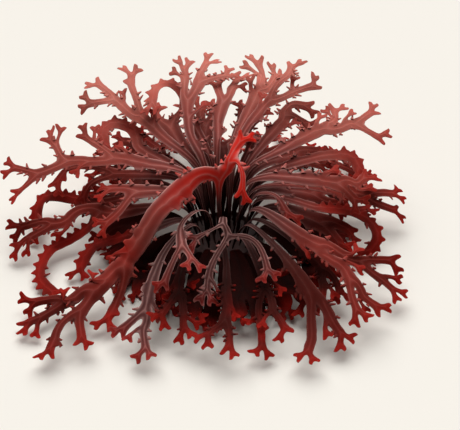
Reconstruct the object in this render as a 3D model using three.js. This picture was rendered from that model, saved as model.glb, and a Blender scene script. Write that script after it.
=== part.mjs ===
// Irish moss, a red seaweed, picked whole and laid on a table: a small disc, the holdfast, and the
// flat fronds that rise from it, arch over and fork again and again down to short blunt prongs.
// Units are millimetres and +Z is up. The origin is the middle of the holdfast's flat underside.
import * as THREE from "three";

// Sizes of the straps that every frond is made of
const strap = {
  step: 6, // between two cuts across a strap
  stemStep: 10, // the same on the stem, up to its first fork
  combStep: 3.6, // the same on a strap with a row of teeth
  prongHalf: 1, // half the width of the last prongs
  prongEnd: 0.92, // what is left of that at their blunt ends
  half: 1.85, // half the width of a strap that carries one crown of prongs
  growth: 0.42, // how fast straps widen with the number of crowns that they carry
  footHalf: 0.8, // half the width of a stem where it leaves the holdfast
  stemTaper: 2.6, // stems stay narrow near the holdfast: the power of their widening
  flare: 1.22, // a strap widens by this much just under its fork
  forkTrim: 1, // and is shorter by this share of its half width, which the fork makes up
  thickBase: 0.4, // half the thickness of the middle of a strap: this much
  thickShare: 0.08, // and this share of the strap's half width
  channel: 0.2, // the middle of a strap lies lower than its edges, by this share of its half width
  slim: 0.6, // straps are this much slimmer over the middle of the tuft
  slimReach: [12, 42], // and reach their full width between these distances from it
};
const forkTurn = { least: 0.12, most: 0.9, small: 0.62 }; // how far the arms of a fork turn off, in radians
const tooth = { length: 2.2, base: 0.95, end: 0.5, bow: 0.3 }; // a tooth on the edge of a strap: half widths
const crown = { reach: 1.7, prong: 2.5, trim: 1.5 }; // its arms and prongs, and what it takes off its strap
const sideBranch = { from: 25, least: 12, place: [0.35, 0.6], lean: 0.9, length: [4.5, 7.5] }; // on long arms
// How fronds that pass near each other bend clear
const clearance = { share: 0.3, gap: 0.55, rounds: 140, reach: 16, sideways: 0.3, hold: 0.03 };
const floorGap = 0.15; // the least height of a strap above the table

// The holdfast is a dished disc, and the feet of the fronds stand in it in four rings
const holdfast = { radius: 15.6, height: 2.6, dish: 14.2, floor: 1.3, sides: 28, lobes: 5, lobe: 0.06 };
const footHeight = holdfast.floor + 0.4;
const rings = [2.8, 6.1, 9.3, 12.4];

// The fronds in sight are drawn over the photograph, a frame of 460 x 430 pixels. Every point is
// [column, row, height]: two pixels of that frame, and millimetres above the table.
const view = {
  middle: [230, 215],
  pixelsPerMm: 2.564,
  tilt: THREE.MathUtils.degToRad(40),
  distance: 720,
  aim: new THREE.Vector3(3.1, 0, 12.7),
};
const sight = new THREE.Vector3(0, -Math.cos(view.tilt), Math.sin(view.tilt)); // towards the eye

const arm = (points, forks = [], more = {}) => ({ points, forks, ...more });

const drawnFronds = [
  {
    name: "frond_back_left_tall", ring: 0, rise: 34,
    arm: arm([[192, 130, 41], [193, 94, 46]], [
      arm([[190, 68, 49]]),
      arm([[204, 79, 47]], [arm([[213, 64, 48]]), arm([[226, 74, 46]])]),
    ]),
  },
  {
    name: "frond_back_left_wide", ring: 1, rise: 30, wide: 0.95,
    arm: arm([[165, 140, 35], [137, 110, 39]], [
      arm([[132, 92, 42], [131, 75, 44]]),
      arm([[117, 96, 38]], [arm([[102, 83, 38]]), arm([[95, 99, 36]])]),
    ]),
  },
  {
    name: "frond_back_left_arc", ring: 1, rise: 31,
    arm: arm([[184, 118, 39], [183, 98, 42], [168, 85, 43], [151, 92, 42], [147, 110, 40]], [], { comb: true }),
  },
  {
    name: "frond_back_left_inner", ring: 1, rise: 29, wide: 1.4,
    arm: arm([[178, 145, 35], [168, 126, 36]], [arm([[160, 113, 36]]), arm([[177, 111, 37]])]),
  },
  {
    name: "frond_left_upper_arc", ring: 1, rise: 28, wide: 1.15,
    arm: arm([[150, 148, 32], [134, 124, 35], [115, 118, 35], [103, 128, 33], [105, 144, 30]], [], { comb: true }),
  },
  {
    name: "frond_left_upper_inner", ring: 2, rise: 27, wide: 1.5,
    arm: arm([[158, 160, 29], [132, 150, 29]], [arm([[118, 143, 28]]), arm([[112, 152, 26]])]),
  },
  {
    name: "frond_left_long", ring: 1, rise: 29, wide: 0.88,
    arm: arm([[150, 166, 29], [108, 158, 28]], [
      arm([[84, 138, 30]]),
      arm([[66, 159, 26]], [
        arm([[51, 141, 27]]),
        arm([[38, 169, 22]], [arm([[17, 166, 20]]), arm([[22, 184, 17]])]),
      ]),
    ]),
  },
  {
    name: "frond_left_middle", ring: 2, rise: 27,
    arm: arm([[150, 178, 26], [108, 176, 24]], [
      arm([[86, 184, 21], [84, 200, 17]]),
      arm([[66, 172, 21], [56, 188, 18]]),
    ]),
  },
  {
    name: "frond_left_inner", ring: 2, rise: 26, wide: 1.3, taper: 1.6,
    arm: arm([[160, 188, 26], [132, 190, 24]], [arm([[110, 192, 21]]), arm([[119, 208, 19], [106, 218, 15]])]),
  },
  {
    name: "frond_left_low_arc", ring: 2, rise: 24, wide: 1.15, taper: 1.8,
    arm: arm([[140, 194, 21], [90, 203, 16], [60, 195, 15], [42, 197, 12], [36, 212, 9], [38, 230, 6]], [], {
      comb: true,
    }),
  },
  {
    name: "frond_left_floor", ring: 2, rise: 21,
    arm: arm([[142, 208, 19], [98, 216, 14]], [
      arm([[50, 234, 9]], [arm([[23, 235, 8]]), arm([[21, 251, 4]])]),
      arm([[70, 236, 9], [46, 247, 7], [37, 262, 4.5], [39, 279, 3], [53, 292, 2.5]], [], { comb: true }),
    ]),
  },
  {
    name: "frond_left_floor_inner", ring: 2, rise: 18, wide: 1.3, taper: 1.6,
    arm: arm([[150, 226, 16], [114, 226, 12], [94, 234, 9], [86, 248, 6], [80, 264, 3]], [], { comb: true }),
  },
  {
    name: "frond_left_low_inner", ring: 3, rise: 13, wide: 2, taper: 1.2,
    arm: arm([[152, 220, 10], [126, 234, 7]], [arm([[108, 238, 5]]), arm([[118, 252, 4]])]),
  },
  {
    name: "frond_front_low_far_left", ring: 3, rise: 12, wide: 2.1, taper: 1.2,
    arm: arm([[165, 250, 8], [148, 278, 6]], [arm([[134, 296, 4]]), arm([[150, 300, 4]])]),
  },
  {
    name: "frond_front_left_inner", ring: 2, rise: 19,
    arm: arm([[166, 250, 15], [155, 285, 10], [149, 315, 6]], [arm([[130, 333, 4]]), arm([[143, 348, 3]])]),
  },
  {
    name: "frond_front_left_middle", ring: 2, rise: 17, wide: 0.95,
    arm: arm([[182, 262, 13], [181, 296, 8]], [arm([[184, 330, 4]]), arm([[165, 316, 6]])]),
  },
  {
    name: "frond_front_curl", ring: 1, rise: 25, wide: 0.85,
    arm: arm([[178, 226, 26], [182, 248, 25]], [arm([[189, 261, 24]]), arm([[173, 268, 20], [167, 283, 17]])]),
  },
  {
    name: "frond_front_low_middle_left", ring: 3, rise: 13, wide: 2.3, taper: 1.2,
    arm: arm([[186, 262, 7], [178, 286, 5]], [arm([[168, 300, 4]]), arm([[184, 306, 4]])]),
  },
  {
    name: "frond_front_low_left", ring: 3, rise: 12, wide: 2.3, taper: 1.2,
    arm: arm([[205, 264, 7], [200, 292, 5]], [arm([[194, 306, 4]]), arm([[206, 312, 4]])]),
  },
  {
    name: "frond_front_middle", ring: 2, rise: 15, wide: 0.9,
    arm: arm([[221, 252, 12], [218, 296, 8], [219, 328, 4]], [arm([[206, 339, 3]]), arm([[220, 350, 2.5]])]),
  },
  {
    name: "frond_front_star", ring: 1, rise: 24, wide: 0.85,
    arm: arm([[224, 214, 25], [222, 226, 24]], [
      arm([[206, 233, 22], [194, 239, 20]]),
      arm([[229, 236, 22]], [
        arm([[220, 262, 17], [215, 294, 10]]),
        arm([[248, 236, 21], [262, 246, 18], [270, 272, 13]]),
      ]),
    ]),
  },
  {
    name: "frond_front_low_right", ring: 3, rise: 12, wide: 2.3, taper: 1.2,
    arm: arm([[241, 266, 7], [243, 290, 5]], [arm([[235, 308, 4]]), arm([[250, 310, 4]])]),
  },
  {
    name: "frond_front_low_middle_right", ring: 3, rise: 12, wide: 2.3, taper: 1.2,
    arm: arm([[262, 262, 7], [272, 286, 5]], [arm([[270, 304, 4]]), arm([[288, 302, 4]])]),
  },
  {
    name: "frond_bed_left", ring: 3, rise: 8, wide: 2.2, taper: 1,
    arm: arm([[176, 262, 4], [164, 284, 3]], [
      arm([[156, 296, 3]], [], { small: true }),
      arm([[170, 300, 3]], [], { small: true }),
    ]),
  },
  {
    name: "frond_bed_middle_left", ring: 3, rise: 9, wide: 2.2, taper: 1,
    arm: arm([[196, 262, 4], [190, 290, 3]], [
      arm([[182, 306, 3]], [], { small: true }),
      arm([[196, 308, 3]], [], { small: true }),
    ]),
  },
  {
    name: "frond_bed_middle", ring: 3, rise: 8, wide: 2.2, taper: 1,
    arm: arm([[224, 266, 4], [224, 290, 3]], [
      arm([[218, 306, 3]], [], { small: true }),
      arm([[232, 306, 3]], [], { small: true }),
    ]),
  },
  {
    name: "frond_bed_middle_right", ring: 3, rise: 8, wide: 2.2, taper: 1,
    arm: arm([[250, 264, 4], [256, 288, 3]], [
      arm([[252, 304, 3]], [], { small: true }),
      arm([[266, 302, 3]], [], { small: true }),
    ]),
  },
  {
    name: "frond_bed_right", ring: 3, rise: 8, wide: 2.2, taper: 1,
    arm: arm([[272, 254, 5], [286, 274, 4]], [
      arm([[286, 292, 3]], [], { small: true }),
      arm([[300, 284, 3]], [], { small: true }),
    ]),
  },
  {
    name: "frond_front_right_inner", ring: 2, rise: 17, wide: 0.9,
    arm: arm([[254, 264, 12], [262, 296, 7]], [arm([[261, 328, 4], [262, 346, 2.5]]), arm([[276, 331, 4]])]),
  },
  {
    name: "frond_front_right", ring: 2, rise: 20, wide: 1.25,
    arm: arm([[268, 248, 17], [292, 284, 11], [308, 310, 6]], [
      arm([[312, 334, 3], [307, 353, 2.5]]),
      arm([[330, 341, 3]]),
    ]),
  },
  {
    name: "frond_front_low_far_right", ring: 3, rise: 15, wide: 2.2, taper: 1.2,
    arm: arm([[280, 245, 10], [299, 267, 8]], [arm([[299, 287, 6]]), arm([[318, 279, 6]])]),
  },
  {
    name: "frond_right_hanging", ring: 2, rise: 22, wide: 1,
    arm: arm([[300, 240, 17], [322, 266, 11]], [arm([[340, 290, 7]]), arm([[322, 300, 7]])]),
  },
  {
    name: "frond_right_front", ring: 2, rise: 24, wide: 1,
    arm: arm([[291, 228, 21], [327, 252, 16]], [
      arm([[355, 282, 9]], [arm([[376, 307, 4]]), arm([[360, 311, 4]])]),
      arm([[364, 267, 10]], [arm([[390, 267, 8]]), arm([[394, 290, 5]])]),
    ]),
  },
  {
    name: "frond_right_inner", ring: 2, rise: 23, wide: 1.7, taper: 1.6,
    arm: arm([[294, 212, 22], [322, 222, 17]], [arm([[345, 228, 13]]), arm([[334, 242, 13]])]),
  },
  {
    name: "frond_right_low_inner", ring: 3, rise: 17, wide: 2.2, taper: 1.2,
    arm: arm([[292, 228, 13], [318, 240, 10]], [arm([[336, 240, 8]]), arm([[332, 256, 7]])]),
  },
  {
    name: "frond_right_low_arc", ring: 2, rise: 25,
    arm: arm([[300, 203, 24], [348, 207, 18], [370, 220, 13], [377, 237, 9], [368, 251, 6]], [], { comb: true }),
  },
  {
    name: "frond_right_long", ring: 1, rise: 28, wide: 1.1,
    arm: arm([[284, 188, 28], [335, 196, 24], [374, 201, 18]], [arm([[396, 196, 15]]), arm([[396, 212, 11]])]),
  },
  {
    name: "frond_right_middle", ring: 2, rise: 24, wide: 1.6, taper: 1.6,
    arm: arm([[290, 196, 24], [318, 200, 21]], [arm([[338, 196, 19]]), arm([[334, 210, 17]])]),
  },
  {
    name: "frond_right_hook", ring: 2, rise: 28,
    arm: arm([[272, 190, 29], [286, 199, 27], [288, 216, 22]]),
  },
  {
    name: "frond_right_upper", ring: 1, rise: 30, wide: 1.25,
    arm: arm([[300, 180, 31], [345, 184, 28]], [arm([[366, 177, 25]]), arm([[356, 200, 22]])]),
  },
  {
    name: "frond_right_upper_inner", ring: 2, rise: 29, wide: 1.6,
    arm: arm([[280, 170, 30], [306, 168, 28]], [arm([[326, 162, 27]]), arm([[324, 176, 25]])]),
  },
  {
    name: "frond_right_upper_arc", ring: 1, rise: 30, wide: 1.2,
    arm: arm([[305, 156, 32], [338, 152, 31], [353, 157, 28], [359, 169, 25]], [], { comb: true }),
  },
  {
    name: "frond_right_back", ring: 1, rise: 32, wide: 1,
    arm: arm([[278, 158, 34], [303, 142, 36], [330, 130, 36]], [
      arm([[338, 112, 36]]),
      arm([[354, 124, 33]], [arm([[369, 113, 33]]), arm([[374, 134, 30]])]),
    ]),
  },
  {
    name: "frond_back_right_low", ring: 1, rise: 30, wide: 1.2,
    arm: arm([[262, 134, 35], [282, 113, 36]], [arm([[304, 106, 36]]), arm([[303, 124, 33]])]),
  },
  {
    name: "frond_back_right", ring: 0, rise: 33, wide: 0.95,
    arm: arm([[246, 124, 41], [272, 98, 45]], [arm([[287, 82, 47], [293, 70, 48]]), arm([[307, 82, 45]])]),
  },
  {
    name: "frond_back_middle_right", ring: 0, rise: 34, wide: 1.1,
    arm: arm([[246, 114, 40], [258, 88, 44]], [arm([[257, 64, 47]]), arm([[269, 75, 44]])]),
  },
  {
    name: "frond_back_middle", ring: 0, rise: 35, wide: 1.1,
    arm: arm([[222, 122, 40], [228, 100, 43]], [arm([[220, 86, 44]]), arm([[240, 80, 44]])]),
  },
  {
    name: "frond_back_low", ring: 1, rise: 31, wide: 1.5,
    arm: arm([[206, 140, 35], [208, 120, 36]], [arm([[203, 108, 37]]), arm([[216, 108, 37]])]),
  },
  {
    name: "frond_back_low_right", ring: 1, rise: 31, wide: 1.6,
    arm: arm([[240, 142, 34], [250, 124, 35]], [arm([[246, 110, 36]]), arm([[262, 116, 35]])]),
  },
  {
    name: "frond_back_inner_right", ring: 2, rise: 25, wide: 1.8, taper: 1.6,
    arm: arm([[244, 160, 28], [252, 144, 29]], [
      arm([[250, 132, 29]], [], { small: true }),
      arm([[264, 138, 28]], [], { small: true }),
    ]),
  },
  {
    name: "frond_arch", ring: 0, rise: 24, wide: 0.45,
    arm: arm([[219, 178, 36]], [
      arm([[192, 180, 39], [166, 205, 32]], [
        arm([[146, 240, 21], [126, 268, 12]], [
          arm([[92, 289, 7]], [
            arm([[62, 303, 5]], [arm([[36, 307, 4]]), arm([[30, 321, 2.5]])]),
            arm([[76, 309, 4]], [arm([[62, 326, 3], [53, 348, 2]]), arm([[77, 332, 3]])]),
          ]),
          arm([[118, 298, 6], [107, 319, 4]]),
        ], { wide: 1.12 }),
      ], { wide: 1.6 }),
      arm([[234, 158, 44]], [arm([[243, 141, 46]]), arm([[243, 174, 42], [240, 192, 37]], [], { wide: 1.2 })], {
        wide: 2.3,
      }),
    ]),
  },
];

// The fronds of the far side, which the photograph doesn't show, follow one rule
const farFronds = {
  count: 7, from: 22, to: 158, ring: 3, rise: 19,
  reach: [39, 50, 61], height: [18, 12, 6], spread: [8.5, 4.5], waver: 4, wide: 1.2, bare: 17, taper: 1.5,
};

const degrees = THREE.MathUtils.degToRad;

// A repeatable draw between low and high
function makeDraw(seed) {
  let state = seed * 7919 + 101;
  return (low, high) => {
    state = (state * 16807) % 2147483647;
    return low + ((high - low) * state) / 2147483647;
  };
}

// The point of the object that shows at a pixel of the view, at a height above the table
function placeInView([column, row, height]) {
  const focal = view.pixelsPerMm * view.distance;
  const across = (column - view.middle[0]) / focal;
  const rise = (view.middle[1] - row) / focal;
  const [sin, cos] = [Math.sin(view.tilt), Math.cos(view.tilt)];
  const above = height - view.aim.z;
  const deep = (rise * (view.distance - above * sin) - above * cos) / (sin - rise * cos);
  const nearness = view.distance + deep * cos - above * sin;
  return new THREE.Vector3(view.aim.x + across * nearness, view.aim.y + deep, height);
}

function placeByCompass(compass, reach, height) {
  return new THREE.Vector3(reach * Math.cos(compass), reach * Math.sin(compass), height);
}

function inSpace(drawn) {
  const { points, forks, ...more } = drawn;
  return { ...more, points: points.map(placeInView), forks: forks.map(inSpace) };
}

function farFrond(index, draw) {
  const turn = (farFronds.to - farFronds.from) / (farFronds.count - 1);
  const middle = farFronds.from + index * turn + draw(-farFronds.waver, farFronds.waver);
  const stretch = draw(0.92, 1.08);
  const place = (compass, level) =>
    placeByCompass(degrees(compass), farFronds.reach[level] * stretch, farFronds.height[level] + draw(-2, 2));
  const limb = (compass) => ({
    points: [place(compass, 1)],
    forks: [1, -1].map((side) => ({ points: [place(compass + side * farFronds.spread[1], 2)], forks: [] })),
  });
  const [left, right] = [1, -1].map((side) => limb(middle + side * farFronds.spread[0]));
  return {
    name: `frond_far_${index + 1}`,
    ring: farFronds.ring,
    rise: farFronds.rise,
    wide: farFronds.wide,
    bare: farFronds.bare,
    taper: farFronds.taper,
    arm: { points: [place(middle, 0)], forks: [left, right] },
  };
}

// Long arms get side branches with a pair of prongs, to the left or the right
function withSideBranches(limb, before, draw, least) {
  const { points, forks } = limb;
  const end = points[points.length - 1];
  const start = points[points.length - 2] ?? before;
  const along = end.clone().sub(start);
  const split = start.clone().addScaledVector(along, draw(...sideBranch.place));
  const near = Math.hypot(split.x, split.y) < sideBranch.from;
  if (limb.comb || limb.small || near || along.length() < least) {
    return { ...limb, forks: forks.map((fork) => withSideBranches(fork, end, draw, least)) };
  }
  const across = along.clone().normalize().cross(skyward(split)).normalize();
  const side = draw(0, 1) < 0.5 ? -1 : 1;
  const lean = along.clone().normalize().addScaledVector(across, side * sideBranch.lean).normalize();
  const tip = split.clone().addScaledVector(lean, draw(...sideBranch.length));
  const branch = { points: [tip.setZ(Math.max(tip.z, 2))], forks: [], small: true };
  const rest = withSideBranches({ ...limb, points: [end] }, split, draw, least);
  return { ...limb, points: [...points.slice(0, -1), split], forks: [rest, branch] };
}

function countCrowns(limb) {
  if (limb.forks.length) return limb.forks.reduce((sum, fork) => sum + countCrowns(fork), 0);
  return limb.comb ? 2 : limb.small ? 0.2 : 1;
}

function halfWidth(crowns, wide, place) {
  const outwards = THREE.MathUtils.smoothstep(Math.hypot(place.x, place.y), ...strap.slimReach);
  return strap.half * crowns ** strap.growth * wide * THREE.MathUtils.lerp(strap.slim, 1, outwards);
}

const halfThickness = (half) => strap.thickBase + strap.thickShare * half;
const keel = (half) => halfThickness(half) + strap.channel * half; // how deep a strap reaches

// The part of a direction that is square to another, at length 1
function squareTo(direction, along) {
  return direction.clone().addScaledVector(along, -direction.dot(along)).normalize();
}

// The side of a blade that faces the sky, and a little outwards and to the eye
function skyward(point) {
  return new THREE.Vector3(point.x / 230, point.y / 230, 1).addScaledVector(sight, 1.1);
}

// Cuts across the straps of one frond: each has a middle, the way ahead, the way to its right, its
// face and its half width. Fork cuts lead to two, and a blunt tip leads to none.
class Frond {
  constructor(plan, seed) {
    this.name = plan.name;
    this.draw = makeDraw(seed);
    this.cuts = [];
    this.plan = plan;
  }

  addCut(middle, ahead, face, half, before, more = {}) {
    const facing = squareTo(face, ahead);
    const right = ahead.clone().cross(facing).normalize();
    const cut = { middle, ahead, right, face: facing, half, before, next: [], teeth: {}, ...more };
    this.cuts.push(cut);
    if (before) before.next.push(cut);
    return cut;
  }

  grow(foot) {
    const { arm: limb, ring, rise } = this.plan;
    const compass = Math.atan2(limb.points[0].y, limb.points[0].x);
    const shoulder = placeByCompass(compass, rings[ring] + 4.5, rise);
    const knee = foot.clone().lerp(shoulder, 0.4).setZ(rise * 0.5);
    const up = new THREE.Vector3(0, 0, 1);
    const inwards = new THREE.Vector3(-Math.cos(compass), -Math.sin(compass), 0);
    const root = this.addCut(foot, up, inwards, strap.footHalf);
    const stem = [knee, shoulder, limb.points[0]];
    const whole = limb.comb
      ? { points: stem, forks: [{ ...limb, points: limb.points.slice(1) }] }
      : { ...limb, points: [knee, shoulder, ...limb.points] };
    const branched = withSideBranches(whole, foot, this.draw, this.plan.bare ?? sideBranch.least);
    this.growArm(branched, root, this.plan.wide ?? 1);
  }

  // Cuts along a smooth curve from the last cut through the arm's points, then its fork or crown
  growArm(limb, from, above) {
    const wide = limb.wide ?? above;
    const start = from.middle;
    const endHalf = halfWidth(countCrowns(limb), wide, limb.points[limb.points.length - 1]);
    const splits = limb.forks.length > 1 && !limb.forks.some((fork) => fork.small);
    if (splits) this.trim(limb.points, start, strap.forkTrim * endHalf);
    else if (!limb.forks.length && !limb.small) this.trim(limb.points, start, crown.trim);
    const lead = Math.min(4, 0.3 * start.distanceTo(limb.points[0]));
    const route = [start, start.clone().addScaledVector(from.ahead, lead), ...limb.points];
    const curve = new THREE.CatmullRomCurve3(route);
    const step = limb.comb ? strap.combStep : from.before ? strap.step : strap.stemStep;
    const count = Math.max(1, Math.round(curve.getLength() / step));
    const stations = curve.getSpacedPoints(count);
    const ways = stations.map((_, k) => {
      return stations[Math.min(k + 1, count)].clone().sub(stations[Math.max(k - 1, 0)]).normalize();
    });
    const faces = this.carriedFaces(from.face, ways, this.faceAtEnd(limb, stations[count], ways[count]));
    let last = from;
    for (let k = 1; k <= count; k++) {
      const flare = k === count && splits ? strap.flare : 1;
      const widening = Math.min(1, (1.15 * k) / count) ** (from.before ? 1 : this.plan.taper ?? strap.stemTaper);
      const half = THREE.MathUtils.lerp(from.half, endHalf, widening) * flare;
      last = this.addCut(stations[k], ways[k], faces[k], half, last);
      this.addTeeth(limb, last, k, count);
    }
    if (limb.forks.length > 1) this.fork(last, limb.forks, wide);
    else if (limb.forks.length) this.growArm(limb.forks[0], last, wide);
    else if (limb.small) this.pair(last);
    else this.crown(last);
  }

  // A face carried along a curve, which turns evenly on the way to end in the plane of the last face
  carriedFaces(first, ways, last) {
    const faces = [first];
    for (let k = 1; k < ways.length; k++) faces.push(squareTo(faces[k - 1], ways[k]));
    const [carried, end] = [faces[faces.length - 1], ways[ways.length - 1]];
    const roll = Math.atan2(carried.clone().cross(last).dot(end), carried.dot(last));
    const least = roll - Math.PI * Math.round(roll / Math.PI);
    return faces.map((face, k) => face.clone().applyAxisAngle(ways[k], (least * k) / (ways.length - 1)));
  }

  // Makes room for the fork or the crown at the end of an arm
  trim(points, start, length) {
    const end = points[points.length - 1];
    const back = (points[points.length - 2] ?? start).clone().sub(end);
    end.addScaledVector(back, Math.min(0.6, length / back.length()));
  }

  // The face that lets the two arms of a fork spread to its left and right, or a random roll at a crown
  faceAtEnd(limb, point, ahead) {
    const sky = squareTo(skyward(point), ahead);
    if (limb.forks.length > 1) {
      const [a, b] = limb.forks.map((fork) => fork.points[0].clone().sub(point).normalize());
      const right = squareTo(b.sub(a), ahead);
      const face = right.clone().cross(ahead);
      if (face.dot(sky) < 0) face.negate();
      return face.add(sky.multiplyScalar(0.7)).normalize();
    }
    return sky.applyAxisAngle(ahead, this.draw(-0.4, 0.4));
  }

  // Teeth stand in a row on the outer edge of a comb, and singly elsewhere
  addTeeth(limb, cut, k, count) {
    if (k === count) return;
    if (limb.comb) {
      const bow = limb.points.reduce((sum, point) => sum.add(point), new THREE.Vector3());
      const outwards = cut.middle.clone().sub(bow.divideScalar(limb.points.length)).normalize().dot(cut.right);
      if (Math.abs(outwards) > tooth.bow) {
        cut.teeth[outwards > 0 ? "right" : "left"] = tooth.length * this.draw(0.8, 1.2);
      }
    } else if (k < 2) {
      return;
    } else if (cut.middle.length() > 34 && this.draw(0, 1) < 0.75) {
      cut.teeth[this.draw(0, 1) < 0.5 ? "right" : "left"] = tooth.length * this.draw(0.7, 1.1);
    }
  }

  fork(cut, limbs, wide) {
    const [a, b] = limbs.map((limb) => limb.points[0].clone().sub(cut.middle).dot(cut.right));
    const ordered = a < b ? limbs : [limbs[1], limbs[0]];
    const halves = ordered.map((limb) => halfWidth(countCrowns(limb), limb.wide ?? wide, cut.middle) * 0.9);
    const turns = ordered.map((limb) => {
      const way = limb.points[0].clone().sub(cut.middle);
      const turn = Math.atan2(Math.abs(way.dot(cut.right)), way.dot(cut.ahead));
      return THREE.MathUtils.clamp(turn, limb.small ? forkTurn.small : forkTurn.least, forkTurn.most);
    });
    const [left, right] = halves;
    const aside = ordered[0].small ? -right : ordered[1].small ? left : 0.5 * (left - right);
    const starts = this.forkCuts(cut, halves, turns, { aside });
    ordered.forEach((limb, k) => this.growArm(limb, starts[k], wide));
  }

  // The first cuts of two arms, which share the point where they part
  forkCuts(cut, halves, turns, { aside = 0, lift = 0 }) {
    const reach = cut.half * 0.55 + 2 * Math.max(...halves.map((half, k) => half * Math.sin(turns[k])));
    cut.parting = { reach, aside };
    const parting = partingPoint(cut);
    return [-1, 1].map((side, k) => {
      const turn = side * turns[k];
      const ahead = cut.ahead.clone().multiplyScalar(Math.cos(turn)).addScaledVector(cut.right, Math.sin(turn));
      const right = cut.right.clone().multiplyScalar(Math.cos(turn)).addScaledVector(cut.ahead, -Math.sin(turn));
      const middle = parting.clone().addScaledVector(right, side * halves[k]);
      ahead.addScaledVector(cut.face, lift * side).normalize();
      return this.addCut(middle, ahead, cut.face, halves[k], cut, { forkSide: side });
    });
  }

  // Two blunt prongs
  pair(cut) {
    const turns = [this.draw(0.35, 0.7), this.draw(0.35, 0.7)];
    const prongs = this.forkCuts(cut, [strap.prongHalf, strap.prongHalf], turns, { lift: this.draw(-0.2, 0.2) });
    for (const prong of prongs) this.prong(prong, crown.prong * this.draw(0.75, 1.2));
  }

  // A crown: two arms that each end in one or two blunt prongs
  crown(cut) {
    const turns = [this.draw(0.42, 0.75), this.draw(0.42, 0.75)];
    const half = strap.prongHalf * 1.2;
    const arms = this.forkCuts(cut, [half, half], turns, { lift: this.draw(-0.2, 0.2) });
    const single = this.draw(0, 1) < 0.6 ? Math.round(this.draw(0, 1)) : -1;
    arms.forEach((start, k) => {
      if (k === single) {
        this.prong(start, crown.prong * this.draw(1.2, 1.7));
        return;
      }
      const middle = start.middle.clone().addScaledVector(start.ahead, crown.reach * this.draw(0.7, 1.2));
      const end = this.addCut(middle, start.ahead, start.face, half * 1.15, start);
      this.pair(end);
    });
  }

  prong(start, length) {
    const middle = start.middle.clone().addScaledVector(start.ahead, length);
    this.addCut(middle, start.ahead, start.face, strap.prongHalf * strap.prongEnd, start, { tip: true });
  }
}

// Where the two arms of a fork part
function partingPoint({ middle, ahead, right, parting }) {
  return middle.clone().addScaledVector(ahead, parting.reach).addScaledVector(right, parting.aside);
}

// How far along their frond two cuts lie from each other
function pathLengths(cuts) {
  const depth = new Map([[cuts[0], 0]]);
  for (const cut of cuts.slice(1)) {
    depth.set(cut, depth.get(cut.before) + cut.middle.distanceTo(cut.before.middle));
  }
  return (a, b) => {
    let [x, y] = [a, b];
    while (x !== y) {
      if (depth.get(x) > depth.get(y)) x = x.before;
      else y = y.before;
    }
    return depth.get(a) + depth.get(b) - 2 * depth.get(x);
  };
}

// How far a strap reaches from its middle line along a direction, its teeth included
function reachOf(cut, direction) {
  const across = direction.dot(cut.right);
  const side = cut.half + (cut.teeth[across > 0 ? "right" : "left"] ?? 0);
  return Math.max(Math.abs(across) * side, keel(cut.half)) + clearance.share * cut.half;
}

// Bends the fronds clear of each other: straps that are too near push each other away, and every
// frond spreads its shifts along its straps, so that it stays smooth
function bendClear(fronds) {
  const cuts = fronds.flatMap((frond) => frond.cuts);
  for (const cut of cuts) cut.shift = new THREE.Vector3();
  const lines = fronds.flatMap((frond) => {
    const along = pathLengths(frond.cuts);
    return frond.cuts.filter((cut) => cut.before).map((cut) => ({ frond, along, from: cut.before, to: cut }));
  });
  for (const line of lines) line.middle = line.from.middle.clone().lerp(line.to.middle, 0.5);
  const pairs = [];
  lines.forEach((a, i) => {
    for (const b of lines.slice(i + 1)) {
      if (a.middle.distanceTo(b.middle) > clearance.reach) continue;
      if (a.frond === b.frond && a.along(a.to, b.to) < 3 * (a.to.half + b.to.half) + strap.step) continue;
      pairs.push([a, b]);
    }
  });
  const [here, there] = [new THREE.Vector3(), new THREE.Vector3()];
  for (let round = 0; round < clearance.rounds; round++) {
    const pushes = new Map(cuts.map((cut) => [cut, new THREE.Vector3()]));
    for (const line of lines) {
      const ends = [line.from, line.to].map((cut) => cut.middle.clone().add(cut.shift));
      line.track = new THREE.Line3(...ends);
    }
    for (const [a, b] of pairs) {
      const distance = Math.sqrt(a.track.distanceSqToLine3(b.track, here, there));
      const apart = here.sub(there).divideScalar(Math.max(distance, 0.01));
      const lack = reachOf(a.to, apart.clone().negate()) + reachOf(b.to, apart) + clearance.gap - distance;
      if (lack <= 0) continue;
      apart.multiplyScalar(clearance.sideways).addScaledVector(sight, (1 - clearance.sideways) * apart.dot(sight));
      apart.setLength(0.5 * lack);
      for (const cut of [a.from, a.to]) pushes.get(cut).add(apart);
      for (const cut of [b.from, b.to]) pushes.get(cut).sub(apart);
    }
    for (const cut of cuts) cut.shift.addScaledVector(pushes.get(cut).clampLength(0, 1.5), 0.4);
    spreadShifts(cuts);
  }
  for (const cut of cuts) cut.middle.add(cut.shift);
}

// How far a strap has to rise to clear the table, before its shift
function depthUnderFloor(cut) {
  const side = cut.half + Math.max(cut.teeth.left ?? 0, cut.teeth.right ?? 0);
  return floorGap + Math.abs(cut.right.z) * side + keel(cut.half) - cut.middle.z;
}

function spreadShifts(cuts) {
  const spread = cuts.map((cut) => {
    const near = [cut.before, ...cut.next].filter(Boolean);
    const mean = near.reduce((sum, other) => sum.add(other.shift), new THREE.Vector3()).divideScalar(near.length);
    return cut.shift.clone().lerp(mean, 0.4);
  });
  cuts.forEach((cut, k) => {
    cut.shift.copy(cut.before?.before ? spread[k] : spread[k].set(0, 0, 0));
    const near = cut.shift.dot(sight);
    cut.shift.multiplyScalar(1 - clearance.hold).addScaledVector(sight, near * clearance.hold);
    const lack = Math.max(...[cut, ...cut.next.filter((next) => next.forkSide)].map(depthUnderFloor));
    cut.shift.z += Math.max(0, lack - cut.shift.z);
  });
  for (const cut of cuts) if (cut.forkSide) cut.shift.copy(cut.before.shift);
}

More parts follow.
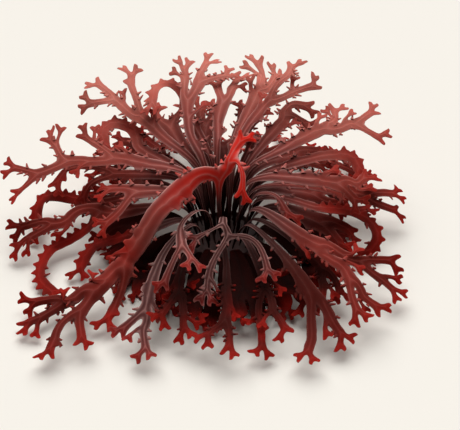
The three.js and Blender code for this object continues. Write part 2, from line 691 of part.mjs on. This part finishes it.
// The closed surface of a frond: a lens-shaped ring of four points at every cut, joined along the
// straps, with two rings that share a point where a strap forks and a blunt edge at every tip
class Skin {
  constructor() {
    this.points = [];
    this.faces = [];
  }

  point(vector) {
    this.points.push(vector.x, vector.y, vector.z);
    return this.points.length / 3 - 1;
  }

  // A triangle of the upper side, and its twin of the lower side
  both(...corners) {
    this.faces.push(...corners.map((corner) => corner.top ?? corner));
    this.faces.push(...corners.map((corner) => corner.under ?? corner).reverse());
  }

  ring(cut, shared = {}) {
    const [thick, dip] = [halfThickness(cut.half), strap.channel * cut.half];
    const edge = (side) => this.point(cut.middle.clone().addScaledVector(cut.right, side * cut.half));
    return {
      left: shared.left ?? edge(-1),
      right: shared.right ?? edge(1),
      ridge: {
        top: this.point(cut.middle.clone().addScaledVector(cut.face, thick - dip)),
        under: this.point(cut.middle.clone().addScaledVector(cut.face, -thick - dip)),
      },
    };
  }

  stretch(from, to, cut, next) {
    this.edge(from, to, cut, next, "right");
    this.edge(from, to, cut, next, "left");
  }

  // One side of a strap between two rings, with or without a tooth on its edge
  edge(from, to, cut, next, name) {
    const turn = (...corners) => this.both(...(name === "right" ? corners : corners.reverse()));
    const length = cut.teeth[name];
    if (!length || !cut.half || next.tip) {
      turn(from.ridge, from[name], to[name]);
      turn(from.ridge, to[name], to.ridge);
      return;
    }
    const out = cut.right.clone().multiplyScalar(name === "right" ? 1 : -1);
    const start = cut.middle.clone().addScaledVector(out, cut.half);
    const end = next.middle.clone().addScaledVector(next.right, (name === "right" ? 1 : -1) * next.half);
    const span = start.distanceTo(end);
    const [near, far] = [0.5 * span - tooth.base, 0.5 * span + tooth.base].map((along) =>
      this.point(start.clone().lerp(end, THREE.MathUtils.clamp(along / span, 0.12, 0.88))),
    );
    const [heel, toe] = [-tooth.end, tooth.end].map((along) =>
      this.point(start.clone().lerp(end, 0.6 + along / span).addScaledVector(out, length)),
    );
    turn(from.ridge, from[name], near);
    turn(from.ridge, near, heel);
    turn(from.ridge, heel, to.ridge);
    turn(to.ridge, heel, toe);
    turn(to.ridge, toe, far);
    turn(to.ridge, far, to[name]);
  }

  fork(ring, cut, [left, right]) {
    const parting = this.point(partingPoint(cut));
    const a = this.ring(left, { right: parting });
    const b = this.ring(right, { left: parting });
    this.both(ring.left, ring.ridge, a.ridge);
    this.both(ring.left, a.ridge, a.left);
    this.both(ring.ridge, parting, a.ridge);
    this.both(ring.ridge, b.ridge, parting);
    this.both(ring.ridge, ring.right, b.ridge);
    this.both(ring.right, b.right, b.ridge);
    return [a, b];
  }

  tip(ring, cut) {
    const [left, right] = [-1, 1].map((side) =>
      this.point(cut.middle.clone().addScaledVector(cut.right, side * cut.half)),
    );
    this.both(ring.left, ring.ridge, left);
    this.both(ring.ridge, right, left);
    this.both(ring.ridge, ring.right, right);
  }

  cover(cut, ring) {
    if (cut.next.length === 2) {
      const rings = this.fork(ring, cut, cut.next);
      cut.next.forEach((next, k) => this.cover(next, rings[k]));
    } else if (cut.next[0].tip) {
      this.tip(ring, cut.next[0]);
    } else {
      const next = this.ring(cut.next[0]);
      this.stretch(ring, next, cut, cut.next[0]);
      this.cover(cut.next[0], next);
    }
  }

  geometry(root) {
    const ring = this.ring(root);
    this.faces.push(ring.left, ring.ridge.under, ring.right);
    this.faces.push(ring.left, ring.right, ring.ridge.top);
    this.cover(root, ring);
    const geometry = new THREE.BufferGeometry();
    geometry.setAttribute("position", new THREE.Float32BufferAttribute(this.points, 3));
    geometry.setIndex(this.faces);
    geometry.computeVertexNormals();
    return geometry;
  }
}

// The feet stand in rings, in the order in which their fronds point round the compass
function placeFeet(plans) {
  const feet = new Map();
  rings.forEach((radius, ring) => {
    const compass = (plan) => Math.atan2(plan.arm.points[0].y, plan.arm.points[0].x);
    const around = plans.filter((plan) => plan.ring === ring).sort((a, b) => compass(a) - compass(b));
    const turn = (2 * Math.PI) / around.length;
    const lag = around.reduce((sum, plan, k) => sum + compass(plan) - k * turn, 0) / around.length;
    around.forEach((plan, k) => feet.set(plan, placeByCompass(lag + k * turn, radius, footHeight)));
  });
  return feet;
}

function holdfastGeometry() {
  const { radius, height, dish, floor, sides, lobes, lobe } = holdfast;
  const profile = [
    [0, 0], [radius * 0.82, 0], [radius, height * 0.4], [radius * 0.96, height * 0.85],
    [dish, height], [dish * 0.94, floor], [0, floor],
  ];
  const geometry = new THREE.LatheGeometry(profile.map(([x, y]) => new THREE.Vector2(x, y)), sides);
  geometry.rotateX(Math.PI / 2);
  const place = geometry.getAttribute("position");
  for (let k = 0; k < place.count; k++) {
    const [x, y] = [place.getX(k), place.getY(k)];
    const swell = 1 + lobe * Math.cos(lobes * Math.atan2(y, x)) * (Math.hypot(x, y) / radius) ** 2;
    place.setXY(k, x * swell, y * swell);
  }
  return geometry;
}

const frondMaterial = new THREE.MeshStandardMaterial({ color: 0x6e2a28, roughness: 0.42, metalness: 0 });
const topFrondMaterial = new THREE.MeshStandardMaterial({ color: 0xa3241a, roughness: 0.38, metalness: 0 });
const holdfastMaterial = new THREE.MeshStandardMaterial({ color: 0x2c1212, roughness: 0.6, metalness: 0 });

export function growTuft() {
  const plans = [
    ...drawnFronds.map((plan) => ({ ...plan, arm: inSpace(plan.arm) })),
    ...Array.from({ length: farFronds.count }, (_, k) => farFrond(k, makeDraw(500 + k))),
  ];
  const feet = placeFeet(plans);
  const fronds = plans.map((plan, k) => new Frond(plan, k + 1));
  fronds.forEach((frond) => frond.grow(feet.get(frond.plan)));
  bendClear(fronds);
  return fronds;
}

const tuft = new THREE.Group();
const disc = new THREE.Mesh(holdfastGeometry(), holdfastMaterial);
disc.name = "holdfast";
tuft.add(disc);
for (const frond of growTuft()) {
  const material = frond.name === "frond_arch" ? topFrondMaterial : frondMaterial;
  const mesh = new THREE.Mesh(new Skin().geometry(frond.cuts[0]), material);
  mesh.name = frond.name;
  tuft.add(mesh);
}

export default tuft;
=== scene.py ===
import heapq
import math
import random

import bmesh
import bpy
import numpy as np
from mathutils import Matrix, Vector


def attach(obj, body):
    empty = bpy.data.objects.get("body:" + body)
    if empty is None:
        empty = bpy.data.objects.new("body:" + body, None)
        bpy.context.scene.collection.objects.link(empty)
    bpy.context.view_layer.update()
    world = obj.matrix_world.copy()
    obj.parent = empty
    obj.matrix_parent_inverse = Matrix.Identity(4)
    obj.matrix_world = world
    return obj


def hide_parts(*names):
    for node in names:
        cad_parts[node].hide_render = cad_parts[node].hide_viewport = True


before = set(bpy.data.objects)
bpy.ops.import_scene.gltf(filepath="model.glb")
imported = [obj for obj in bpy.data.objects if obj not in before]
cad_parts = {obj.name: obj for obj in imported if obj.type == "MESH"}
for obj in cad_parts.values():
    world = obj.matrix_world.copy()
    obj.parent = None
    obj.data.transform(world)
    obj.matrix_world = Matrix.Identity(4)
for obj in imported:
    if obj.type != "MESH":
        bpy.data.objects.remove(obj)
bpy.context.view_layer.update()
mm = 0.001


# Shader maths, written as plain expressions of sockets and numbers
class Value:
    def __init__(self, shader, socket):
        self.shader = shader
        self.socket = socket

    def __add__(self, other):
        return self.shader.math("ADD", self, other)

    def __radd__(self, other):
        return self.shader.math("ADD", other, self)

    def __sub__(self, other):
        return self.shader.math("SUBTRACT", self, other)

    def __rsub__(self, other):
        return self.shader.math("SUBTRACT", other, self)

    def __mul__(self, other):
        return self.shader.math("MULTIPLY", self, other)

    def __rmul__(self, other):
        return self.shader.math("MULTIPLY", other, self)

    def __pow__(self, other):
        return self.shader.math("POWER", self, other)

    def clamped(self):
        return self.shader.math("ADD", self, 0.0, clamp=True)


class Shader:
    def __init__(self, name):
        self.material = bpy.data.materials.new(name)
        self.material.use_nodes = True
        self.tree = self.material.node_tree
        self.surface = self.tree.nodes["Principled BSDF"]

    def node(self, kind, settings=None, out=0, **inputs):
        made = self.tree.nodes.new(kind)
        for name, value in (settings or {}).items():
            setattr(made, name, value)
        for name, value in inputs.items():
            self.feed(made.inputs[name.replace("_", " ")], value)
        return Value(self, made.outputs[out])

    def feed(self, socket, value):
        if isinstance(value, Value):
            self.tree.links.new(value.socket, socket)
        else:
            socket.default_value = value

    def math(self, operation, *values, clamp=False):
        made = self.tree.nodes.new("ShaderNodeMath")
        made.operation = operation
        made.use_clamp = clamp
        for socket, value in zip(made.inputs, values):
            self.feed(socket, value)
        return Value(self, made.outputs[0])

    def mix(self, factor, low, high):
        made = self.tree.nodes.new("ShaderNodeMix")
        made.data_type = "RGBA"
        self.feed(made.inputs["Factor"], factor)
        self.feed(made.inputs["A"], low)
        self.feed(made.inputs["B"], high)
        return Value(self, made.outputs["Result"])

    def attribute(self, name):
        return self.node("ShaderNodeAttribute", {"attribute_name": name}, out="Fac")

    def noise(self, scale, detail, roughness=0.55):
        place = self.node("ShaderNodeTexCoord", out="Object")
        return self.node(
            "ShaderNodeTexNoise", out="Fac", Vector=place, Scale=scale, Detail=detail, Roughness=roughness
        )

    def bump(self, height, strength, distance):
        return self.node("ShaderNodeBump", Height=height, Strength=strength, Distance=distance)

    def finish(self, **inputs):
        for name, value in inputs.items():
            self.feed(self.surface.inputs[name.replace("_", " ")], value)
        return self.material


def colour(red, green, blue):
    linear = [((c / 255 + 0.055) / 1.055) ** 2.4 if c > 10 else c / 255 / 12.92 for c in (red, green, blue)]
    return (*linear, 1.0)


# Seaweed skin: its own colours, and painted light, shade, sheen, highlights and glow. Each tone lies over
# the ones before it, and its Laid value holds how strong it is and how much the clouds vary that.

skin = {
    "stemAndShade": colour(24, 2, 1),  # dark stems, and painted shade deep in the tuft
    "flesh": colour(150, 50, 42),
    "fleshLaid": (1.0, 0.9),
    "paintedLightTone": colour(220, 134, 120),  # painted light on the back and top of the tuft
    "paintedLightToneLaid": (0.75, 0.8),
    # Crimson tips: their own red, and a painted glow where light comes through the thin tissue
    "tips": colour(168, 30, 22),
    "tipsLaid": (0.85, 1.0),
    "tipsLostInSun": 0.75,
    "paintedSheen": colour(168, 124, 125),  # painted mauve sheen, on the stems that arch over the middle
    "paintedSheenLaid": (0.9, 1.0),
    "sheenFlat": 0.12,
    "sheenAtEdge": 0.3,
    "shade": colour(50, 8, 5),  # in the channel between midrib and edge
    "shadeLaid": (0.35, 0.6),
    "shadeLostInSun": 0.2,
    "shadeInSheen": 0.3,
    "shadeLostAtTip": 0.7,
    "red": colour(216, 34, 20),
    "redLaid": (0.85, 0.5),
    "paintedHighlight": colour(206, 160, 154),  # painted highlight along the edges and the midrib
    "paintedHighlightLaid": (0.6, 0.8),
    "highlightLeast": 0.02,
    "highlightOnFlesh": 0.45,
    "highlightOnSheen": 1.1,
    "highlightOnRib": 0.35,
    "edgePower": 4.0,  # a higher power makes a narrower line
    "ribPower": 9.0,
    "clouds": 160.0,  # to the metre
    "grain": 1400.0,
    "relief": (0.5, 0.2, 0.8, 0.5),  # of clouds, grain, edge and midrib
    "reliefStrength": 0.6,
    "reliefDepth": 0.4 * mm,
    "roughness": 0.55,
    "roughnessSpread": (0.2, 0.25),  # by clouds and grain
    "specular": 0.02,
    "glow": 0.12,  # light that goes a little way through the flesh
    "glowColour": (1.0, 0.25, 0.15),
    "glowDepth": 1.2 * mm,
}


def skinMaterial(name, tones):
    shader = Shader(name)
    clouds = shader.noise(tones["clouds"], detail=4.0) - 0.5
    grain = shader.noise(tones["grain"], detail=2.0) - 0.5
    fleshOverStemAndShade, tip, paintedLight = shader.attribute("fleshOverStemAndShade"), shader.attribute("tip"), shader.attribute("paintedLight")
    edge, red, paintedSheen = shader.attribute("edge"), shader.attribute("red"), shader.attribute("paintedSheen")

    def laid(tone, mask, under, more=0.0):
        strength, spread = tones[tone + "Laid"]
        return shader.mix((mask * (more + strength + clouds * spread)).clamped(), under, tones[tone])

    channel = edge * (1.0 - edge) * 4.0  # 1 halfway between midrib and edge
    edgeLine = edge ** tones["edgePower"]
    ribLine = (1.0 - edge) ** tones["ribPower"]
    body = laid("flesh", fleshOverStemAndShade, tones["stemAndShade"])
    body = laid("paintedLightTone", paintedLight, body)
    body = laid("tips", tip * (1.0 - paintedLight * tones["tipsLostInSun"]), body)
    body = laid("paintedSheen", paintedSheen * (tones["sheenFlat"] + edge * tones["sheenAtEdge"]) * (1.0 - tip), body)
    inChannel = channel * (1.0 - tip * tones["shadeLostAtTip"])
    body = laid("shade", inChannel, body, more=paintedSheen * tones["shadeInSheen"] - paintedLight * tones["shadeLostInSun"])
    body = laid("red", red, body)
    paintedHighlight = tones["highlightLeast"] + fleshOverStemAndShade * tones["highlightOnFlesh"] + paintedSheen * tones["highlightOnSheen"]
    body = laid("paintedHighlight", (edgeLine + ribLine * tones["highlightOnRib"]) * paintedHighlight * (1.0 - tip), body)
    ofClouds, ofGrain, ofEdge, ofRib = tones["relief"]
    height = clouds * ofClouds + grain * ofGrain + edgeLine * ofEdge + ribLine * ofRib
    byClouds, byGrain = tones["roughnessSpread"]
    return shader.finish(
        Base_Color=body,
        Roughness=(tones["roughness"] + clouds * byClouds + grain * byGrain).clamped(),
        Normal=shader.bump(height, strength=tones["reliefStrength"], distance=tones["reliefDepth"]),
        Subsurface_Weight=tones["glow"],
        Subsurface_Radius=tones["glowColour"],
        Subsurface_Scale=tones["glowDepth"],
        Specular_IOR_Level=tones["specular"],
    )


# Fronds: each takes the CAD frond as its cage, and gets round edges, ruffles, buds and colour zones, some of
# them painted light, shade and sheen.
# A zone comes in between two places, and its By value holds the strengths outside the zone and inside it.

frond = {
    "weld": 0.02 * mm,
    "joinAngle": math.radians(40),
    "joinShape": math.radians(60),
    "oneWay": 0.6,  # a point whose faces agree less than this is on an edge
    "railAngle": math.radians(86),  # faces that meet at more than this make the edge of a blade
    "railCrease": 0.36,
    "levels": 2,
    "ruffle": 0.07 * mm,
    "ruffleOnRib": 0.3,
    "ruffleLength": 5.5 * mm,
    "waves": ((1.0, (1.0, 0.6, 0.8), 0.0), (0.6, (-0.7, 1.3, 0.5), 1.7)),  # size, way and start of each
    "length": 92 * mm,
    "fleshFrom": (0.16, 0.48),  # of the way from the foot, at the back and in front
    "fleshTo": (0.5, 1.1),
    "fleshForward": (-8 * mm, 34 * mm),
    "fleshLifted": (12 * mm, 26 * mm),
    "fleshLiftedBy": (1.0, 0.4),
    "fleshHeight": (3 * mm, 22 * mm),
    "fleshByHeight": (0.34, 1.08),
    "sunBack": (-4 * mm, 56 * mm),
    "sunByBack": (0.24, 1.0),
    "sunHeight": (10 * mm, 42 * mm),
    "sunOut": (14 * mm, 50 * mm),
    "sunByOut": (0.25, 1.0),
    "tipLength": 11 * mm,
    "tipOut": (24 * mm, 48 * mm),
    "tipHeight": (8 * mm, 16 * mm),
    "tipByOut": (0.3, 1.0),
    "sheenOut": (16 * mm, 48 * mm),
    "sheenHeight": (12 * mm, 24 * mm),
    "sheenBack": (5 * mm, 25 * mm),
    "sheenByBack": (1.0, 0.6),
    "arch": "frond_arch",  # painted glow: bright red on its crest, where light comes through
    "archStem": (29 * mm, 36.25 * mm),
    "redHeight": (24 * mm, 37 * mm),
    "redAcross": (-30 * mm, -9 * mm),
    "mauve": ("frond_front_star", "frond_front_curl", "frond_front_left_inner"),  # painted sheen, pale all along
    "mauveLeast": 0.6,
    "mauveSheen": 2.0,
    "lightLean": (-0.04, 0.5),  # the light comes from behind the tuft
    "coverFrom": 3.5 * mm,
    "coverReach": 6 * mm,
    "coverMost": 54,  # as many points of straps overhead give the deepest shade
    "fleshByLight": (0.4, 1.1),
    "tipByLight": (0.6, 1.0),
    "sunByLight": (0.5, 1.1),
}
marks = ("share", "fleshOverStemAndShade", "tip", "paintedLight", "paintedSheen", "red", "edge")  # what each point of a frond is marked with
canopy = np.array([point.co[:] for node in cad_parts.values() for point in node.data.vertices])
canopy = np.unique(np.round(canopy, 5), axis=0)  # each place once, to a hundredth of a millimetre


# How far each point lies from the nearest of the starts, along the edges of the cage
def walkedFrom(starts, body):
    distance = {vertex: math.inf for vertex in body.verts}
    queue = []
    for vertex in starts:
        distance[vertex] = 0.0
        heapq.heappush(queue, (0.0, vertex.index, vertex))
    while queue:
        walked, _, vertex = heapq.heappop(queue)
        if walked > distance[vertex]:
            continue
        for edge in vertex.link_edges:
            other = edge.other_vert(vertex)
            further = walked + edge.calc_length()
            if further < distance[other]:
                distance[other] = further
                heapq.heappush(queue, (further, other.index, other))
    return distance


def smoothStep(value, low, high):
    share = min(1.0, max(0.0, (value - low) / (high - low)))
    return share * share * (3.0 - 2.0 * share)


def between(strengths, share):
    outside, inside = strengths
    return outside + (inside - outside) * share


# How much of the tuft lies between a place and the light, from 0 to 1
def coverOn(place):
    above = canopy - np.array(place)
    leanAcross, leanBack = frond["lightLean"]
    aside = np.hypot(above[:, 0] - leanAcross * above[:, 2], above[:, 1] - leanBack * above[:, 2])
    over = (above[:, 2] > frond["coverFrom"]) & (aside < frond["coverReach"])
    return min(1.0, np.count_nonzero(over) / frond["coverMost"])


# Dark stems, and painted shade low down and in the front, turn into flesh early at the back, and late in the
# low fronds of the front
def fleshOverStemAndShadeOn(place, share):
    lifted = between(frond["fleshLiftedBy"], smoothStep(place.z, *frond["fleshLifted"]))
    front = smoothStep(-place.y, *frond["fleshForward"]) * lifted
    byHeight = between(frond["fleshByHeight"], smoothStep(place.z, *frond["fleshHeight"]))
    return byHeight * smoothStep(share, between(frond["fleshFrom"], front), between(frond["fleshTo"], front))


# Painted light: paler on the back and top of the tuft, and away from its middle
def paintedLightOn(place):
    byBack = between(frond["sunByBack"], smoothStep(place.y, *frond["sunBack"]))
    byOut = between(frond["sunByOut"], smoothStep(place.xy.length, *frond["sunOut"]))
    return smoothStep(place.z, *frond["sunHeight"]) * byBack * byOut


# Painted shade: the tips of the low fronds in the middle stay dark
def tipOn(place, toTip):
    outer = max(smoothStep(place.xy.length, *frond["tipOut"]), smoothStep(place.z, *frond["tipHeight"]))
    return between(frond["tipByOut"], outer) * (1.0 - smoothStep(toTip, 0.0, frond["tipLength"]))


# Painted sheen on the stems high over the middle of the tuft, less at the back
def paintedSheenOn(place):
    near = 1.0 - smoothStep(place.xy.length, *frond["sheenOut"])
    byBack = between(frond["sheenByBack"], smoothStep(place.y, *frond["sheenBack"]))
    return near * smoothStep(place.z, *frond["sheenHeight"]) * byBack


# Painted glow on the crest of the arch, past its stem
def redOn(place, walked):
    pastStem = smoothStep(walked, *frond["archStem"])
    return pastStem * smoothStep(place.z, *frond["redHeight"]) * smoothStep(place.x, *frond["redAcross"])


# The faces round a point on the edge of a blade look opposite ways, and those round its midrib one way
def isOnEdge(vertex):
    turned = Vector()
    for corner in vertex.link_loops:
        turned += corner.face.normal * corner.calc_angle()
    return turned.length < frond["oneWay"] * sum(corner.calc_angle() for corner in vertex.link_loops)


# A rail is where two faces of a blade meet sharply along its edge
def isRail(edge, mark):
    return edge.calc_face_angle(0.0) > frond["railAngle"] and all(end[mark] for end in edge.verts)


# A point's marks: painted shade where other straps lie between it and the light, on its flesh, its tip and
# its painted light
def markPoint(vertex, layers, nodeName, fromFoot, toTip):
    light = 1.0 - coverOn(vertex.co)
    share = fromFoot / frond["length"]
    vertex[layers["share"]] = share
    vertex[layers["fleshOverStemAndShade"]] = fleshOverStemAndShadeOn(vertex.co, share) * between(frond["fleshByLight"], light)
    vertex[layers["tip"]] = tipOn(vertex.co, toTip) * between(frond["tipByLight"], light)
    vertex[layers["paintedLight"]] = paintedLightOn(vertex.co) * between(frond["sunByLight"], light)
    vertex[layers["paintedSheen"]] = paintedSheenOn(vertex.co)
    if nodeName in frond["mauve"]:
        vertex[layers["paintedSheen"]] = max(frond["mauveLeast"], paintedSheenOn(vertex.co)) * frond["mauveSheen"]
    if nodeName == frond["arch"]:
        vertex[layers["red"]] = redOn(vertex.co, fromFoot)
    vertex[layers["edge"]] = float(isOnEdge(vertex))


def frondCage(nodeName):
    body = bmesh.new()
    body.from_mesh(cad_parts[nodeName].data)
    bmesh.ops.remove_doubles(body, verts=body.verts, dist=frond["weld"])
    bmesh.ops.join_triangles(
        body,
        faces=body.faces,
        angle_face_threshold=frond["joinAngle"],
        angle_shape_threshold=frond["joinShape"],
    )
    body.verts.index_update()
    body.normal_update()
    crease = body.edges.layers.float.new("crease_edge")
    layers = {name: body.verts.layers.float.new(name) for name in marks}
    foot = min(body.verts, key=lambda vertex: vertex.co.xy.length + vertex.co.z)
    fromFoot = walkedFrom([foot], body)
    ends = [
        vertex
        for vertex in body.verts
        if all(fromFoot[vertex] >= fromFoot[edge.other_vert(vertex)] for edge in vertex.link_edges)
    ]
    toTip = walkedFrom(ends, body)
    for vertex in body.verts:
        markPoint(vertex, layers, nodeName, fromFoot[vertex], toTip[vertex])
    for edge in body.edges:
        if isRail(edge, layers["edge"]):
            edge[crease] = frond["railCrease"]
    return body


# Small waves along the edges of a blade, fainter on its midrib
def ruffle(mesh):
    count = len(mesh.vertices)
    places = np.empty(count * 3)
    normals = np.empty(count * 3)
    edge = np.empty(count)
    mesh.vertices.foreach_get("co", places)
    mesh.vertex_normals.foreach_get("vector", normals)
    mesh.attributes["edge"].data.foreach_get("value", edge)
    places = places.reshape(-1, 3)
    turn = 2 * math.pi / frond["ruffleLength"]
    wave = sum(size * np.sin(places @ np.array(way) * turn + start) for size, way, start in frond["waves"])
    shift = frond["ruffle"] * between((frond["ruffleOnRib"], 1.0), edge) * wave
    places += normals.reshape(-1, 3) * shift[:, None]
    mesh.vertices.foreach_set("co", places.ravel())


# Small blunt buds that stand in ragged rows on the edges of the blades
bud = {
    "spacing": 5 * mm,
    "chance": 0.6,
    "length": (0.8 * mm, 1.8 * mm),
    "radius": (0.4 * mm, 0.6 * mm),
    "profile": ((-0.4, 1.9), (0.15, 1.2), (0.65, 0.9), (1.0, 0.55)),  # along and across
    "flatness": 0.6,
    "sides": 6,
    "from": 0.36,  # of the way from the foot
    "tipMost": 0.35,
    "along": (0.15, 0.85),  # of the edge that it stands on
    "lean": (0.1, 0.8),
    "blush": 0.5,
}


# Where buds stand on a cage: a place on an edge of the blade, the way out, the way ahead and the marks there
def budSites(body, draw):
    layers = {name: body.verts.layers.float[name] for name in marks}
    sites = []
    body.normal_update()
    for edge in body.edges:
        ends = sorted(edge.verts, key=lambda vertex: vertex[layers["share"]])
        if not isRail(edge, layers["edge"]) or ends[0][layers["share"]] < bud["from"]:
            continue
        if max(end[layers["tip"]] for end in ends) > bud["tipMost"]:
            continue
        out = (ends[0].normal + ends[1].normal).normalized()
        along = ends[1].co - ends[0].co
        for k in range(max(1, round(along.length / bud["spacing"]))):
            if draw.random() < bud["chance"]:
                place = ends[0].co.lerp(ends[1].co, draw.uniform(*bud["along"]))
                lean = (out + along.normalized() * draw.uniform(*bud["lean"])).normalized()
                here = {name: ends[0][layers[name]] for name in marks}
                sites.append((place, lean, along.normalized(), here))
    return sites


def addBuds(mesh, sites, draw):
    body = bmesh.new()
    body.from_mesh(mesh)
    layers = {name: body.verts.layers.float[name] for name in marks}
    for place, out, along, here in sites:
        across = out.cross(along).normalized()
        flat = across.cross(out)
        length = draw.uniform(*bud["length"])
        radius = draw.uniform(*bud["radius"])
        rings = []
        for reach, share in bud["profile"]:
            ring = []
            for k in range(bud["sides"]):
                turn = 2 * math.pi * k / bud["sides"]
                side = flat * math.cos(turn) + across * math.sin(turn) * bud["flatness"]
                vertex = body.verts.new(place + out * length * reach + side * radius * share)
                for name in marks:
                    vertex[layers[name]] = here[name]
                vertex[layers["tip"]] = max(here["tip"], bud["blush"] * reach)
                vertex[layers["edge"]] = 0.0
                ring.append(vertex)
            rings.append(ring)
        for low, high in zip(rings, rings[1:]):
            for k in range(bud["sides"]):
                after = (k + 1) % bud["sides"]
                body.faces.new((low[k], low[after], high[after], high[k]))
        body.faces.new(rings[-1])
    body.to_mesh(mesh)
    body.free()


def makeFrond(nodeName):
    name = nodeName.replace("frond_", "blade_")
    cage = frondCage(nodeName)
    draw = random.Random(name)
    sites = budSites(cage, draw)
    mesh = bpy.data.meshes.new(name)
    cage.to_mesh(mesh)
    cage.free()
    piece = bpy.data.objects.new(name, mesh)
    bpy.context.scene.collection.objects.link(piece)
    smoother = piece.modifiers.new("round", "SUBSURF")
    smoother.levels = smoother.render_levels = frond["levels"]
    bpy.context.view_layer.update()
    fine = bpy.data.meshes.new_from_object(piece.evaluated_get(bpy.context.evaluated_depsgraph_get()))
    piece.modifiers.clear()
    fine.name = name
    piece.data = fine
    bpy.data.meshes.remove(mesh)
    ruffle(fine)
    addBuds(fine, sites, draw)
    fine.shade_smooth()
    fine.materials.clear()
    fine.materials.append(frondSkin)
    return piece


frondSkin = skinMaterial("seaweed skin", skin)
for nodeName in sorted(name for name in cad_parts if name.startswith("frond_")):
    piece = makeFrond(nodeName)
    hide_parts(nodeName)
    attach(piece, "root")
print("fronds made")


# Holdfast: the disc that the fronds grow from

holdfast = {
    "skin": colour(44, 16, 14),
    "worn": colour(86, 46, 40),
    "blotches": 420.0,  # to the metre
    "roughness": (0.5, 0.75),
    "reliefStrength": 0.7,
    "reliefDepth": 0.4 * mm,
}


def holdfastMaterial():
    shader = Shader("holdfast skin")
    blotch = shader.noise(holdfast["blotches"], detail=5.0)
    return shader.finish(
        Base_Color=shader.mix(blotch ** 2.0, holdfast["skin"], holdfast["worn"]),
        Roughness=between(holdfast["roughness"], blotch),
        Normal=shader.bump(blotch, strength=holdfast["reliefStrength"], distance=holdfast["reliefDepth"]),
    )


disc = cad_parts["holdfast"]
disc.data.materials.clear()
disc.data.materials.append(holdfastMaterial())
print("holdfast made")


# Table, light and camera

stage = {
    "size": 3.0,
    "table": colour(240, 238, 233),
    "roughness": 0.9,
    "sky": colour(250, 243, 236),
    "skyStrength": 0.02,
}
window = {
    "from": Vector((-0.04, 0.55, 1.0)),
    "angle": math.radians(70),
    "strength": 3.79,
    "colour": (1.0, 0.975, 0.94),
}
eye = {
    "aim": Vector((3.1, 0.0, 12.7)) * mm,
    "distance": 720 * mm,
    "tilt": math.radians(40),
    "lens": 144.5,
    "nearest": 10 * mm,
}


def makeTable():
    mesh = bpy.data.meshes.new("table")
    half = stage["size"] / 2
    corners = [(x * half, y * half, 0.0) for x, y in ((-1, -1), (1, -1), (1, 1), (-1, 1))]
    mesh.from_pydata(corners, [], [(0, 1, 2, 3)])
    table = bpy.data.objects.new("table", mesh)
    bpy.context.scene.collection.objects.link(table)
    paint = Shader("table paint")
    mesh.materials.append(
        paint.finish(Base_Color=stage["table"], Roughness=stage["roughness"], Specular_IOR_Level=0.0)
    )


def makeLight():
    light = bpy.data.lights.new("window", "SUN")
    light.energy = window["strength"]
    light.angle = window["angle"]
    light.color = window["colour"]
    lamp = bpy.data.objects.new("window", light)
    lamp.rotation_euler = window["from"].to_track_quat("Z", "Y").to_euler()
    bpy.context.scene.collection.objects.link(lamp)
    world = bpy.data.worlds.new("studio")
    world.use_nodes = True
    sky = world.node_tree.nodes["Background"]
    sky.inputs["Color"].default_value = stage["sky"]
    sky.inputs["Strength"].default_value = stage["skyStrength"]
    bpy.context.scene.world = world


def makeCamera():
    lens = bpy.data.cameras.new("eye")
    lens.lens = eye["lens"]
    lens.clip_start = eye["nearest"]
    camera = bpy.data.objects.new("eye", lens)
    back = Vector((0.0, -math.cos(eye["tilt"]), math.sin(eye["tilt"])))
    camera.location = eye["aim"] + back * eye["distance"]
    camera.rotation_euler = back.to_track_quat("Z", "Y").to_euler()
    bpy.context.scene.collection.objects.link(camera)
    bpy.context.scene.camera = camera


makeTable()
makeLight()
makeCamera()
bpy.context.scene.view_settings.view_transform = "Standard"
print("stage set")
